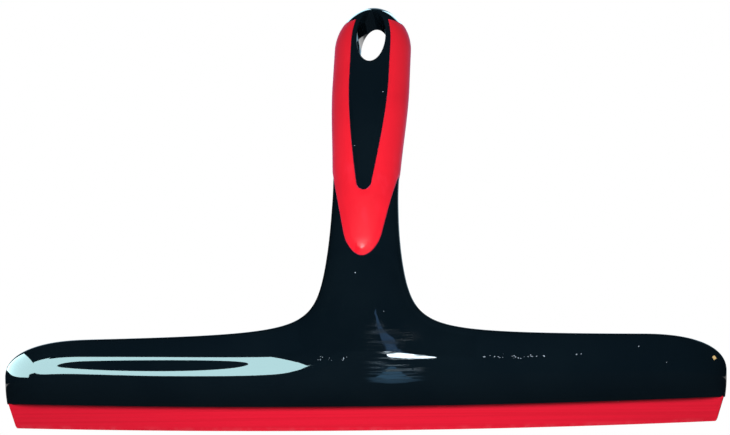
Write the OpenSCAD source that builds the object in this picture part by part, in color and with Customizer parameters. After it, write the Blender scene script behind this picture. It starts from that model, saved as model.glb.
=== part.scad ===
// Window squeegee: two glossy shells close over a soft blade, and soft grips lie in their handles.
// Built upright: X runs along the blade, the front faces -Y, and the handle leans back as it rises.
// The origin is where a hook bears, in the middle of the top wall of the hanging hole.

/* [Head] */
// Overall width of the head
head_w = 303; // [240:1:360]
// Height of the hood at its middle, from the shoulder line down to the blade
head_h = 28; // [25:0.5:34]
// How far the middle of the blade hangs below its ends
head_bow = 2.6; // [1:0.1:4]
// How far along its width each upper corner of the head is rounded
corner_w = 36; // [24:1:44]
// How far down its height each upper corner of the head is rounded
corner_h = 16; // [10:0.5:18]
// How far the ends of the hood draw in towards the blade
end_tuck = 0.8; // [0:0.1:2]
// Depth of the hood in front of the parting line, at its thickest
hood_front = 9; // [7.5:0.25:12]
// Depth of the hood behind the parting line, at its thickest
hood_back = 5.5; // [5:0.25:9]
// Thickness of the lips that hold the blade
lip_wall = 2.2; // [1.6:0.1:2.8]
// Wall of both shells in the head
head_wall = 2.2; // [1.6:0.1:2.6]

/* [Blade] */
// How far the blade stands out of the hood
blade_out = 9.9; // [6:0.1:16]
// Thickness of the blade where it leaves the hood
blade_t = 2.8; // [2:0.1:3.2]
// Thickness of the blade at its wiping edge
edge_t = 1; // [0.6:0.1:1.6]
// Height of the blade's root inside the hood
root_h = 9; // [8:0.5:11]
// Diameter of the bead along the top of the root
bead_d = 4.4; // [3.6:0.2:5]
// How far the blade's ends stop short of the hood's ends
blade_inset = 1.5; // [1:0.1:3]
// Lean of the blade's ends, in degrees from upright
blade_end_lean = 17; // [0:1:30]

/* [Neck and handle] */
// Length of neck and handle along their bend, from the shoulder line
handle_len = 148; // [135:0.5:180]
// Width of the neck at its waist
neck_w = 24.8; // [20:0.2:28]
// Width of the handle at its widest, under the grips
grip_w = 31; // [28:0.2:36]
// Depth of the neck on each side of the parting line
neck_t = 8; // [6.5:0.25:10]
// Depth of the handle on each side of the parting line
grip_t = 9.5; // [8:0.25:12]
// How far the handle leans back, in degrees
lean = 28; // [10:1:40]
// Length of the bend that leads into the lean
bend_len = 70; // [50:1:80]
// Fullness of the corners between neck and shoulders
flare = 139; // [90:1:160]
// Wall of both shells in the handle
handle_wall = 3.8; // [3.2:0.1:4.4]

/* [Hanging hole] */
// Width of the hole
hole_w = 12; // [8:0.5:14]
// Length of the hole along the handle
hole_len = 23.5; // [18:0.5:28]
// Thickness of the loop above the hole
loop_t = 4.4; // [3.5:0.1:7]
// Width of the bevelled rim round the hole
rim_w = 1.4; // [0.6:0.1:2]

/* [Grips] */
// Length of the bare cap above the grips
cap_len = 8; // [6:0.5:12]
// Length of the grips, from the tip of the tongue to the cap
grip_len = 106; // [90:1:112]
// Length of the solid tongue below the inlay
tongue_len = 27; // [18:0.5:36]
// Width of the blunt tip of the tongue
tongue_tip = 12; // [8:0.5:16]
// Length of the blunt tip of the tongue
tongue_blunt = 9.5; // [6:0.5:14]
// Width of the bare inlay between the arms of the front grip
inlay_w = 16.4; // [12:0.2:20]
// Length over which the inlay opens to that width
inlay_open = 50; // [40:1:70]
// Bare margin round the hole in the rear grip
hole_margin = 3.2; // [2:0.1:4]
// How far the grips stand proud of the shells
grip_proud = 0.4; // [0.2:0.1:0.8]
// How deep the grips lie in the shells
grip_deep = 1.6; // [1:0.1:2]

/* [Fixing] */
// Number of pins that hold the blade between the shells
pin_n = 7; // [5:2:11]
// Diameter of the pins
pin_d = 3.2; // [2.4:0.1:3.6]
// How far the pins of the rear shell reach into the sockets of the front one
pin_reach = 4; // [3.2:0.1:4.4]
// Wall of the sockets
socket_wall = 1.6; // [1.2:0.1:2]
// Clearance between pieces that fit into each other
fit = 0.05; // [0.02:0.01:0.15]
// Thickness of the ribs inside the shells
rib_t = 1.4; // [1:0.1:2]

/* [Hidden] */

black = [0.03, 0.035, 0.04];
red = [0.88, 0.1, 0.17];

half_w = head_w / 2;
bow_r = half_w * half_w / (2 * head_bow) + head_bow / 2; // radius that the blade is bowed to
bend_from = 10;  // height where the bend starts
bend_to = bend_from + bend_len;
bend_r = bend_len / (lean * PI / 180);
join_s = 9;      // height where the rows of the neck meet the columns of the head
corner_power = 2.4; // 2 would make the upper corners of the head elliptical
tuck_h = 10;     // height over which the ends of the hood draw in
full_h = 0.45 * head_h; // height over which the hood swells to its full depth
edge_round = 17; // distance in from the outline over which the surface rounds up to full depth
end_round = 16;  // the same at the ends of the head
cap_w = 19;      // length over which the top of the handle rounds in, seen from the front
cap_t = 7.5;     // the same, seen from the side
root_gain = 0.5; // extra half-width where the neck starts
waist_from = 20; // stretch over which the neck loses that extra
waist_to = 50;
swell_from = 0.39 * handle_len; // stretch over which the neck widens into the handle
swell_to = 0.76 * handle_len;
wall_from = 20;  // stretch over which the walls thicken from those of the head to those of the handle
wall_to = 45;
slot_half = blade_t / 2;
lip_h = 3;         // height of the solid lips along the blade
lip_out = slot_half + lip_wall;
hole_top = handle_len - loop_t;
hole_low = hole_top - hole_len;
hole_mid = (hole_top + hole_low) / 2;
grip_top = handle_len - cap_len;
grip_low = grip_top - grip_len;
blade_round = 1.5; // rounding of the blade's lower corners
blade_flat = 0.5;  // stretch below the hood before the blade starts to taper
hood_end = 7.5;    // closed stretch of the hood beyond each end of the blade's root
far = 200;         // longer than any depth, for cuts that go right through

function ease(t) = let(u = min(max(t, 0), 1)) u * u * (3 - 2 * u);
function rise(s, from, to) = ease((s - from) / (to - from));
function quarter(t) = let(u = min(max(t, 0), 1)) sqrt(u * (2 - u)); // quarter ellipse from 0 to 1
function arch(t) = let(u = min(max(t, 0), 1)) u * (2 - u);
function corner(u, p) = 1 - pow(1 - pow(min(max(u, 0), 1), p), 1 / p);

// The spine that everything is bent along: y back and z up, at the distance s above the shoulder line
function lean_at(s) = lean * min(max((s - bend_from) / bend_len, 0), 1);
function spine(s) = let(t = lean_at(s), past = max(s - bend_to, 0))
    [bend_r * (1 - cos(t)) + past * sin(lean),
     min(s, bend_from) + bend_r * sin(t) + past * cos(lean)];
function place(x, s, n) = let(p = spine(s), t = lean_at(s)) [x, p[0] - n * cos(t), p[1] + n * sin(t)];
function seam(x) = bow_r - head_h - sqrt(bow_r * bow_r - x * x); // height of the hood's lower edge

// A skin is [growth in the head, growth in the handle, top, width dome, depth dome, drop, fineness].
// Growth moves the surface outwards, and drop carries it below the seam.
outer_skin = [0, 0, handle_len, cap_w, cap_t, 0, 2];
proud_skin = [grip_proud, grip_proud, handle_len + grip_proud, cap_w, cap_t, 0, 2];
seat_skin = [-grip_deep, -grip_deep, handle_len - grip_deep, cap_w, cap_t, 0, 1];
cavity_top = hole_low - rim_w - handle_wall;
cavity_skin = [-head_wall, -handle_wall, cavity_top, cap_t, cap_t, -lip_h, 1];
core_skin = [-head_wall / 2, -(handle_wall + grip_deep) / 2, cavity_top, cap_t, cap_t, 0, 1]; // in mid wall

function across(k) = 10 * k[6];
function wings(k) = 8 * k[6];
function columns(k) = across(k) + 2 * wings(k);
function round_rows(k) = 3 * k[6];
function head_rows(k) = 5 * k[6];

// Heights of the rows across neck and handle, from the top down to the join. All skins share them, so
// that they cut the parting surface along the same lines.
dome_rows = 8;
rows = 28;
row_heights = [for (i = [0:rows - 1]) let(v = (i - dome_rows) / (rows - dome_rows))
    i < dome_rows ? handle_len - cap_w * (1 - cos(6 + 84 * i / dome_rows))
                  : handle_len - cap_w - (handle_len - cap_w - join_s) * v * (1.4 - 0.4 * v)];
function first_row(k, i = 0) = row_heights[i] < k[2] ? i : first_row(k, i + 1);
function row_s(k, i) = row_heights[first_row(k) + i];
function neck_rows(k) = rows - first_row(k);

function grow(k, s) = k[0] + (k[1] - k[0]) * rise(s, wall_from, wall_to);
function stem(s) = neck_w / 2 - flare / handle_len + root_gain * rise(s, waist_to, waist_from)
    + (grip_w - neck_w) / 2 * rise(s, swell_from, swell_to);
function stem_half(k, s) = stem(s) + grow(k, s) + flare / (s - grow(k, s));
function join_x(k) = stem_half(k, join_s);

// Distance in from the outline, with the corner between neck and shoulder filled by the flare
function corner_drop(k, x) =
    (corner_h + k[0]) * corner((abs(x) - half_w + corner_w) / (corner_w + k[0]), corner_power);
function shoulder(k, x) = k[0] + flare / (abs(x) - stem(0) - k[0]) - corner_drop(k, x);
function edge_in(k, x, s) = let(a = stem(s) + grow(k, s) - abs(x), b = grow(k, s) - s - corner_drop(k, x))
    (a + b + sqrt((a - b) * (a - b) + 4 * flare)) / 2;

// Depth of the surface from the parting line, in front or behind
function full_depth(x, s, front) = let(crest = front ? hood_front : hood_back)
    s < 0 ? lip_out + (crest - lip_out) * arch((s - seam(x)) / full_h)
          : crest + (neck_t - crest) * rise(s, 0, waist_to)
            + (grip_t - neck_t) * rise(s, swell_from, swell_to);
function depth(k, x, s, front) = let(round_w = min(edge_in(k, 0, s), edge_round + grow(k, s)))
    (full_depth(x, s, front) + grow(k, s)) * quarter(edge_in(k, x, s) / round_w)
    * quarter((half_w + k[0] - abs(x)) / (end_round + k[0]));

// Rows across neck and handle
function dome(k, s, len) = let(u = (s - k[2] + len) / len) u <= 0 ? 1 : sqrt(max(1 - u * u, 0));
function neck_row(k, i, front) = let(s = row_s(k, i), w = stem_half(k, s), m = across(k))
    [for (c = [0:m]) let(x = -w * cos(180 * c / m), n = depth(k, x, s, front) * dome(k, s, k[4]))
        place(x * dome(k, s, k[3]), s, c % m == 0 ? 0 : front ? n : -n)];

// Columns down the head: a strip under the neck, with a wing on each side
function wing_x(k, j) = let(a = join_x(k), b = half_w + k[0], m = wings(k), turn = 0.4 * m,
        start = b - corner_w, v = j / (m - turn))
    v <= 1 ? a + (start - a) * v * (0.45 + 0.55 * v) : start + corner_w * sin(90 * (j - m + turn) / turn);
function column_x(k, c, f) = let(m = wings(k), t = (c - m) / across(k))
    t < 0 ? -wing_x(k, m - c) : t > 1 ? wing_x(k, c - m - across(k))
          : -join_x(k) * (cos(180 * t) * (1 - f) + (1 - 2 * t) * f);
function row_share(k, i) = let(m = round_rows(k))
    i < m ? 0.5 * (1 - cos(90 * i / m)) : 0.5 + 0.5 * (i - m) / (head_rows(k) - m);
function head_point(k, i, c, side) =
    let(f = row_share(k, i), x = column_x(k, c, f), t = (c - wings(k)) / across(k),
        high = t < 0 || t > 1 ? shoulder(k, x) : join_s,
        s = high * (1 - f) + (seam(x) - k[5]) * f,
        on_edge = c % columns(k) == 0 || i == 0 && (t <= 0 || t >= 1))
    place(x * (1 - end_tuck / half_w * (1 - arch((s - seam(x)) / tuck_h))), s,
        on_edge ? 0 : side * depth(k, x, s, side > 0));

function side_points(k, front) = concat(
    [for (i = [0:neck_rows(k) - 1]) each neck_row(k, i, front)],
    [for (i = [0:head_rows(k)], c = [0:columns(k)]) head_point(k, i, c, front ? 1 : -1)]);
function low_points(k) = [for (c = [1:columns(k) - 1]) head_point(k, head_rows(k), c, 0)];

// Places in the list of points: rows of the neck, then rows of the head, then the parting line's low edge
function neck_at(k, i, c) = i * (across(k) + 1) + c;
function head_at(k, i, c) = neck_rows(k) * (across(k) + 1) + i * (columns(k) + 1) + c;
function row_at(k, i, c) = i < neck_rows(k) ? neck_at(k, i, c) : head_at(k, 0, wings(k) + c);
function side_size(k) = head_at(k, head_rows(k), columns(k)) + 1;
function low_at(k, c) = c % columns(k) == 0 ? head_at(k, head_rows(k), c) : side_size(k) + c - 1;
function quad(a, b, c, d, left) = left ? [[a, b, c], [a, c, d]] : [[a, b, d], [b, c, d]];
function side_faces(k) = concat(
    [for (i = [0:neck_rows(k) - 1], c = [0:across(k) - 1])
        each quad(row_at(k, i, c), row_at(k, i, c + 1), row_at(k, i + 1, c + 1), row_at(k, i + 1, c),
            2 * c < across(k))],
    [for (i = [0:head_rows(k) - 1], c = [0:columns(k) - 1])
        each quad(head_at(k, i, c), head_at(k, i, c + 1), head_at(k, i + 1, c + 1), head_at(k, i + 1, c),
            2 * c < columns(k))]);
function parting_faces(k) = let(w = wings(k), m = across(k), n = columns(k), h = head_rows(k))
    concat(
    [for (i = [0:neck_rows(k) - 1])
        [row_at(k, i, 0), row_at(k, i + 1, 0), row_at(k, i + 1, m), row_at(k, i, m)]],
    [for (run = [[1:w - 1], [w + m:n - 2]], c = run)
        [head_at(k, 0, c + 1), head_at(k, 0, c), low_at(k, c), low_at(k, c + 1)]],
    [concat([for (i = [0:h]) head_at(k, i, 0)], [low_at(k, 1), head_at(k, 0, 1)]),
     concat([for (i = [h:-1:0]) head_at(k, i, n)], [head_at(k, 0, n - 1), low_at(k, n - 1)]),
     concat([head_at(k, 0, w)], [for (c = [w:w + m]) low_at(k, c)], [head_at(k, 0, w + m)])]);
function flip(faces) = [for (f = faces) [for (i = [len(f) - 1:-1:0]) f[i]]];
function shift(faces, by) = [for (f = faces) [for (i = f) i + by]];

// One side of a skin, closed along the parting line
module half_body(k, front) {
    n = columns(k);
    h = head_rows(k);
    faces = concat(side_faces(k), parting_faces(k),
        [[for (c = [across(k):-1:0]) neck_at(k, 0, c)]],
        [for (c = [1:n - 2])
            [head_at(k, h, c), head_at(k, h, c + 1), low_at(k, c + 1), low_at(k, c)]],
        [[head_at(k, h, 0), head_at(k, h, 1), low_at(k, 1)],
         [head_at(k, h, n - 1), head_at(k, h, n), low_at(k, n - 1)]]);
    polyhedron(concat(side_points(k, front), low_points(k)), front ? faces : flip(faces), convexity = 8);
}

// Both sides of a skin as one closed body
module full_body(k) {
    n = columns(k);
    m = across(k);
    low = head_at(k, head_rows(k), 0);
    back = side_size(k);
    polyhedron(concat(side_points(k, true), side_points(k, false)),
        concat(side_faces(k), flip(shift(side_faces(k), back)),
            [concat([for (c = [m:-1:0]) c], [for (c = [1:m - 1]) back + c])],
            [for (c = [low + 1:low + n - 2]) [c, c + 1, back + c + 1, back + c]],
            [[low, low + 1, back + low + 1], [low + n - 1, low + n, back + low + n - 1]]),
        convexity = 8);
}

// Puts children at a place on the spine, with their Z out of the front and their Y up the handle
module on_spine(s, n = 0) {
    translate(place(0, s, n)) rotate([90 - lean_at(s), 0, 0]) children();
}

// Cuts what lies above the distance s along the handle
module below(s) {
    difference() {
        children();
        on_spine(s) translate([-far, 0, -far]) cube(2 * far);
    }
}

// Outline of the hanging hole, an ellipse along the handle
module hole_outline(margin = 0) {
    polygon([for (a = [4.5:9:355.5]) [(hole_w / 2 + margin) * cos(a), (hole_len / 2 + margin) * sin(a)]]);
}

// The hole with its rounded rims, as a solid to cut away
rim_deep = 2; // depth over which the rims round
rim_steps = 3;
module rim_slice(side, i) {
    turn = 90 * i / rim_steps;
    past = i > rim_steps;
    translate([0, 0, side * (grip_t - rim_deep + (past ? 2 : 1) * rim_deep * sin(min(turn, 90)))])
        linear_extrude(0.01, center = true) hole_outline(past ? 2 * rim_w : rim_w * (1 - cos(turn)));
}
module hole_cut() {
    on_spine(hole_mid) {
        linear_extrude(far, center = true) hole_outline();
        for (side = [-1, 1], i = [0:rim_steps]) hull() {
            rim_slice(side, i);
            rim_slice(side, i + 1);
        }
    }
}

// Half-widths of the tongue and of the inlay at a distance above their tips, which start blunt
tongue_spread = 0.22; // how fast each side of the tongue spreads above its tip
inlay_tip = 5.2;      // width of the blunt tip of the inlay
inlay_blunt = 3;      // length of that tip
function blunt(v) = sqrt(1 - pow(1 - min(v, 1), 2));
function tongue_half(d) = tongue_tip / 2 * blunt(d / tongue_blunt) + tongue_spread * d;
function inlay_half(d) = inlay_tip / 2 * blunt(d / inlay_blunt)
    + (inlay_w - inlay_tip) / 2 * (1 - pow(1 - d / inlay_open, 1.6));

// Their outlines, drawn on the surface and seen from the front. The tongue's goes on past the handle.
bud_steps = 24;
tongue_reach = ((grip_w - tongue_tip) / 2 + 4) / tongue_spread;
function bud_d(i) = 1 - cos(90 * i / bud_steps);
function bud_point(x, s, front) = [x, place(x, s, (front ? 1 : -1) * depth(outer_skin, x, s, front))[2]];
function tongue_side(front) = [for (i = [0:bud_steps]) let(d = tongue_reach * bud_d(i))
    bud_point(tongue_half(d), grip_low + d, front)];
function inlay_side() = [for (i = [0:bud_steps]) let(d = inlay_open * bud_d(i))
    bud_point(inlay_half(d), grip_low + tongue_len + d, true)];
module bud_prism(side) {
    top = side[bud_steps][0];
    rotate([90, 0, 0]) linear_extrude(far, center = true) for (flip = [0, 1]) mirror([flip, 0])
        polygon(concat(side, [[top, 2 * far], [0, 2 * far]]));
}

// Where a grip lies, as a solid that runs through the whole handle
module grip_region(front) {
    below(grip_top) difference() {
        bud_prism(tongue_side(front));
        if (front) bud_prism(inlay_side());
        else on_spine(hole_mid) linear_extrude(far, center = true) hole_outline(rim_w + hole_margin);
    }
}

// Pins hold the blade at even steps, and two more hold the handle; ribs stand between those of the blade
pin_margin = 22; // from the last pins to the ends of the head
pin_step = 2 * (half_w - pin_margin) / (pin_n - 1);
pin_rise = 0.55 * root_h;
handle_pins = [0.3 * handle_len, 0.57 * handle_len];
socket_d = pin_d + 2 * socket_wall;
module along_blade(count) {
    for (i = [0:count - 1]) let(x = (i - (count - 1) / 2) * pin_step) translate([x, 0, seam(x)]) children();
}
module at_blade_pins() {
    along_blade(pin_n) translate([0, 0, pin_rise]) rotate([90, 0, 0]) children();
}
module at_handle_pins() {
    for (s = handle_pins) on_spine(s) children();
}
module at_pins() {
    at_blade_pins() children();
    at_handle_pins() children();
}

// Ribs of the front shell: low ones bear on the blade, high ones stop its bead and stiffen the hood
module rib(from, low, high) {
    translate([-rib_t / 2, -far, low]) cube([rib_t, far - from, high - low]);
}
module ribs() {
    along_blade(pin_n - 1) {
        rib(slot_half, lip_h / 2, root_h - bead_d / 2 - fit);
        rib(fit, root_h + bead_d / 2 + fit, head_h);
    }
}

// A blade's section, swept along its bow: X of the section points away from the centre of the bow
module bowed(half_x) {
    turn = asin(half_x / bow_r);
    translate([0, 0, bow_r - head_h]) rotate([90, 0, 0]) rotate([0, 0, -90 - turn])
        rotate_extrude(angle = 2 * turn, $fn = 720) children();
}

// A hollow half with its inner features, open for its grip, the hole and the blade
module shell(front) {
    difference() {
        union() {
            difference() {
                half_body(outer_skin, front);
                full_body(cavity_skin);
            }
            intersection() {
                half_body(core_skin, front);
                children();
            }
        }
        difference() {
            grip_region(front);
            full_body(seat_skin);
        }
        hole_cut();
        bowed(half_w - hood_end) translate([bow_r - root_h, -slot_half]) square([2 * root_h, blade_t]);
    }
}

// A pin or a socket, turned so that no corner of it lies on a middle line
module pin(d, from, to) {
    translate([0, 0, from]) rotate(360 / 32) cylinder(d = d, h = to - from, $fn = 16);
}

module front_shell() {
    color(black) difference() {
        shell(true) {
            ribs();
            at_blade_pins() pin(socket_d, slot_half, far);
            at_handle_pins() pin(socket_d, 0, far);
        }
        at_pins() pin(pin_d + 2 * fit, -pin_d, 1.1 * pin_reach);
    }
}

module rear_shell() {
    color(black) {
        shell(false) {
            mirror([0, 1, 0]) ribs();
            at_blade_pins() pin(socket_d, -far, -slot_half);
            at_handle_pins() pin(socket_d, -far, 0);
        }
        at_pins() pin(pin_d, -slot_half - 1, pin_reach);
    }
}

// The lip tapers to its wiping edge; the root ends in a bead and is pierced for the pins
blade_half = half_w - blade_inset;
function blade_corner() = let(a = blade_end_lean, r = blade_round,
    x = blade_half - (blade_out - r) * tan(a) - r / cos(a), z = seam(x) - blade_out + r)
    [for (i = [0:6]) let(t = -90 + (90 - a) * i / 6) [x + r * cos(t), z + r * sin(t)]];
module blade_section(from) {
    side = [[from, blade_t / 2], [bow_r + blade_flat, blade_t / 2], [bow_r + blade_out, edge_t / 2]];
    polygon(concat(side, [for (i = [2:-1:0]) [side[i][0], -side[i][1]]]));
}
module blade() {
    half = concat([[0, -far], [blade_corner()[0][0], -far]], blade_corner(),
        [[blade_half, seam(blade_half)], [blade_half, 0], [0, 0]]);
    color(red) difference() {
        union() {
            intersection() {
                bowed(half_w) blade_section(bow_r + fit);
                rotate([90, 0, 0]) linear_extrude(2 * blade_t, center = true)
                    for (flip = [0, 1]) mirror([flip, 0]) polygon(half);
            }
            bowed(half_w - hood_end - fit) {
                blade_section(bow_r - root_h);
                translate([bow_r - root_h, 0]) circle(d = bead_d, $fn = 32);
            }
        }
        at_blade_pins() cylinder(d = pin_d + 2 * fit, h = far, center = true, $fn = 32);
    }
}

module grip(front) {
    color(red) difference() {
        intersection() {
            half_body(proud_skin, front);
            grip_region(front);
        }
        full_body(seat_skin);
        hole_cut();
    }
}
module front_grip() grip(true);
module rear_grip() grip(false);

// Moves the hook's place to the origin
module hung() {
    translate(-place(0, hole_top, 0)) children();
}

hung() front_shell();
hung() rear_shell();
hung() blade();
hung() front_grip();
hung() rear_grip();
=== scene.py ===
# Window squeegee: a glossy black moulded body in two halves, a soft red lip, and soft red grips.
# It hangs from a hook in its handle, so the hook's place is the origin. X runs along the lip and the front
# faces -Y. Sizes are in millimetres, and MM turns them into the frame's metres.
import math

import bpy
import numpy as np
from mathutils import Matrix, Vector, kdtree


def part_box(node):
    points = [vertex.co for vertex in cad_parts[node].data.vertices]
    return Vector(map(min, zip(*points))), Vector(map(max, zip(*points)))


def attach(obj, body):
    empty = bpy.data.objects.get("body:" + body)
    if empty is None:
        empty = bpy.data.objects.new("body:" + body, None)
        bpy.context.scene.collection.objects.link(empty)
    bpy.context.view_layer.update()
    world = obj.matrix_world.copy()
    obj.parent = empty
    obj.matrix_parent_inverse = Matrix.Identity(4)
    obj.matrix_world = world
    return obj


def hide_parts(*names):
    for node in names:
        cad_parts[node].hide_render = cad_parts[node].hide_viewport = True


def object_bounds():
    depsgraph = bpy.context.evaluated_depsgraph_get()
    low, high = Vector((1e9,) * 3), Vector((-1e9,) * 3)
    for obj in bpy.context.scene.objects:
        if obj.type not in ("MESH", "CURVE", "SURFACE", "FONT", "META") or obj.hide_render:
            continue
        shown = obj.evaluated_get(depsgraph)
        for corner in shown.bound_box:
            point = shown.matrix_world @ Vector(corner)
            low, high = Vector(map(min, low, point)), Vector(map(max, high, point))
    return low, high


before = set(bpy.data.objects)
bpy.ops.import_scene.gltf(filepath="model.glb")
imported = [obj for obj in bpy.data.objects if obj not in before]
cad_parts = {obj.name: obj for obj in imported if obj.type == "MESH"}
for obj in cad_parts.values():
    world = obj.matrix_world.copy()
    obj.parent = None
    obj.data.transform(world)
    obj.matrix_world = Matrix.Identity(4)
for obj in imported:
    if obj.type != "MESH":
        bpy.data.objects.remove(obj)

cad_low, cad_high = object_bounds()
BODY = "root"
MM = 0.001


# ---- Camera -------------------------------------------------------------------------------------
# Level with the middle of the tool, a little to its right, and from so far away that the long head shows
# no perspective. The tool hangs slightly askew in the view.
VIEW_AZIMUTH, VIEW_ROLL = math.radians(7.0), math.radians(-0.67)
VIEW_DISTANCE, VIEW_WIDTH = 7.6, 0.30417
VIEW_SHIFT_X, VIEW_SHIFT_Z = 0.75, 0.55
lip_low, lip_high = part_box("blade")

bpy.ops.object.select_all(action="DESELECT")
bpy.ops.object.camera_add()
camera = bpy.context.object
camera.name = "camera"
bpy.context.scene.camera = camera
bpy.context.scene.view_settings.view_transform = "Standard"
camera.data.sensor_width = 36
camera.data.lens = camera.data.sensor_width * VIEW_DISTANCE / VIEW_WIDTH
camera.data.clip_end = 40
view_back = Vector((math.sin(VIEW_AZIMUTH), -math.cos(VIEW_AZIMUTH), 0))
view_middle = Vector((VIEW_SHIFT_X * MM, (lip_low.y + lip_high.y) / 2,
                      (cad_low.z + cad_high.z) / 2 + VIEW_SHIFT_Z * MM))
camera.matrix_world = (Matrix.Translation(view_middle + view_back * VIEW_DISTANCE)
                       @ (-view_back).to_track_quat("-Z", "Y").to_matrix().to_4x4()
                       @ Matrix.Rotation(VIEW_ROLL, 4, "Z"))


# ---- Body halves --------------------------------------------------------------------------------
# The body is moulded in two halves of glossy black ABS, which close along a parting line that follows the
# bend of the handle. Its skin flows from the long hood through a flared neck into the handle, so it is
# drawn row by row from the mould's own sections, which no primitive can be pushed into.
HEAD_W, HEAD_H, HEAD_BOW = 303, 28, 2.6
CORNER_W, CORNER_H, CORNER_POWER = 36, 16, 2.4  # how the shoulders fall off at each end of the head
END_TUCK, TUCK_H = 0.8, 10  # how far the ends draw in at the hood's lower edge, and up to what height
HOOD_FRONT, HOOD_BACK = 9, 5.5  # how far the hood stands out of the parting
HOOD_LOW, HOOD_FULL = 3.6, 0.45  # the same at its lower edge, and the share of its height that fills it out
HANDLE_LEN = 148  # along the bend, from the line of the shoulders
NECK_W, NECK_T, GRIP_W, GRIP_T = 24.8, 8, 31, 9.5
LEAN, BEND_FROM, BEND_LEN = 28, 10, 70
FLARE, ROOT_GAIN = 139, 0.5  # the hyperbola between neck and shoulders, and what its root gains
WAIST = (20, 50)  # heights between which the neck narrows
SWELL = (0.39 * HANDLE_LEN, 0.76 * HANDLE_LEN)  # heights between which the handle widens
JOIN_S = 9  # height at which the rows of the neck meet those of the head
EDGE_ROUND, END_ROUND, CAP_W, CAP_T = 17, 16, 19, 7.5
LOOP_T = 4.4  # what is left over the hanging hole
PARTING_GROOVE = 0.16  # how far each half's edge draws back from the parting line
HOOD_EDGE = 0.5  # rounding of the hood's lower edge
FINENESS = 8
ACROSS, WINGS = 10 * FINENESS, 8 * FINENESS
DOME_ROWS, NECK_ROWS, HEAD_ROWS = 8 * FINENESS, 28 * FINENESS, 5 * FINENESS
UPPER_ROWS = int(0.6 * HEAD_ROWS)  # rows of the head above its middle, which lie closer together
TURN_COLUMNS = 0.4 * WINGS  # columns of a wing where its end turns in
DOME_START = 1.2  # degrees from the very top of the handle to its first row
WELD = 2e-6  # metres within which points are one

HALF_W = HEAD_W / 2
BOW_R = HALF_W ** 2 / (2 * HEAD_BOW) + HEAD_BOW / 2
BEND_R = BEND_LEN / math.radians(LEAN)
HOLE_TOP = HANDLE_LEN - LOOP_T


def ease(t):
    t = np.clip(t, 0, 1)
    return t * t * (3 - 2 * t)


def rise(s, start, end):
    return ease((s - start) / (end - start))


def quarter(t):
    t = np.clip(t, 0, 1)
    return np.sqrt(t * (2 - t))


def arch(t):
    t = np.clip(t, 0, 1)
    return t * (2 - t)


def lean_at(s):
    return np.radians(LEAN) * np.clip((s - BEND_FROM) / BEND_LEN, 0, 1)


def spine(s):
    """The line that everything is bent along: y and z at the distance s above the shoulder line."""
    turn = lean_at(s)
    past = np.maximum(s - BEND_FROM - BEND_LEN, 0)
    lean = math.radians(LEAN)
    return (BEND_R * (1 - np.cos(turn)) + past * math.sin(lean),
            np.minimum(s, BEND_FROM) + BEND_R * np.sin(turn) + past * math.cos(lean))


HOOK = spine(np.float64(HOLE_TOP))


def place(x, s, n):
    """Where a point x across, s up the spine and n out of the front lies, in metres from the hook."""
    y, z = spine(s)
    turn = lean_at(s)
    return np.stack([x + 0 * s, y - n * np.cos(turn) - HOOK[0], z + n * np.sin(turn) - HOOK[1]], -1) * MM


def seam(x):
    """Height of the hood's bowed lower edge."""
    return BOW_R - HEAD_H - np.sqrt(BOW_R ** 2 - x * x)


def stem(s):
    return (NECK_W / 2 - FLARE / HANDLE_LEN + ROOT_GAIN * rise(s, WAIST[1], WAIST[0])
            + (GRIP_W - NECK_W) / 2 * rise(s, *SWELL))


def stem_half(s, grow=0):
    return stem(s) + grow + FLARE / (s - grow)


def corner_drop(x, grow):
    u = np.clip((abs(x) - HALF_W + CORNER_W) / (CORNER_W + grow), 0, 1)
    return (CORNER_H + grow) * (1 - (1 - u ** CORNER_POWER) ** (1 / CORNER_POWER))


def shoulder(x):
    return FLARE / (abs(x) - stem(0)) - corner_drop(x, 0)


def edge_in(x, s, grow):
    """Distance in from the outline, with the corner between neck and shoulder filled by the flare."""
    a = stem(s) + grow - abs(x)
    b = grow - s - corner_drop(x, grow)
    return (a + b + np.sqrt((a - b) ** 2 + 4 * FLARE)) / 2


def depth(x, s, front, grow=0):
    """How far the skin stands out of the parting line."""
    crest = HOOD_FRONT if front else HOOD_BACK
    hood = HOOD_LOW + (crest - HOOD_LOW) * arch((s - seam(x)) / (HOOD_FULL * HEAD_H))
    stalk = crest + (NECK_T - crest) * rise(s, 0, WAIST[1]) + (GRIP_T - NECK_T) * rise(s, *SWELL)
    full = np.where(s < 0, hood, stalk) + grow
    round_w = np.minimum(edge_in(0, s, grow), EDGE_ROUND + grow)
    return (full * quarter(edge_in(x, s, grow) / round_w)
            * quarter((HALF_W + grow - abs(x)) / (END_ROUND + grow)))


def dome(s, top, length):
    u = (s - top + length) / length
    return np.where(u <= 0, 1, np.sqrt(np.clip(1 - u * u, 0, 1)))


def wing_x(j):
    """Column j of a wing of the head, closer together where the end turns in."""
    inner, start = stem_half(JOIN_S), HALF_W - CORNER_W
    v = j / (WINGS - TURN_COLUMNS)
    if v <= 1:
        return inner + (start - inner) * v * (0.45 + 0.55 * v)
    return start + CORNER_W * math.sin(math.pi / 2 * (j - WINGS + TURN_COLUMNS) / TURN_COLUMNS)


def neck_row(s, side):
    x = -stem_half(s) * np.cos(np.pi * np.arange(ACROSS + 1) / ACROSS)
    n = side * depth(x, s, side > 0) * dome(s, HANDLE_LEN, CAP_T)
    n[[0, -1]] = 0
    x[0] += PARTING_GROOVE
    x[-1] -= PARTING_GROOVE
    return place(x * dome(s, HANDLE_LEN, CAP_W), s + 0 * x, n)


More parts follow.
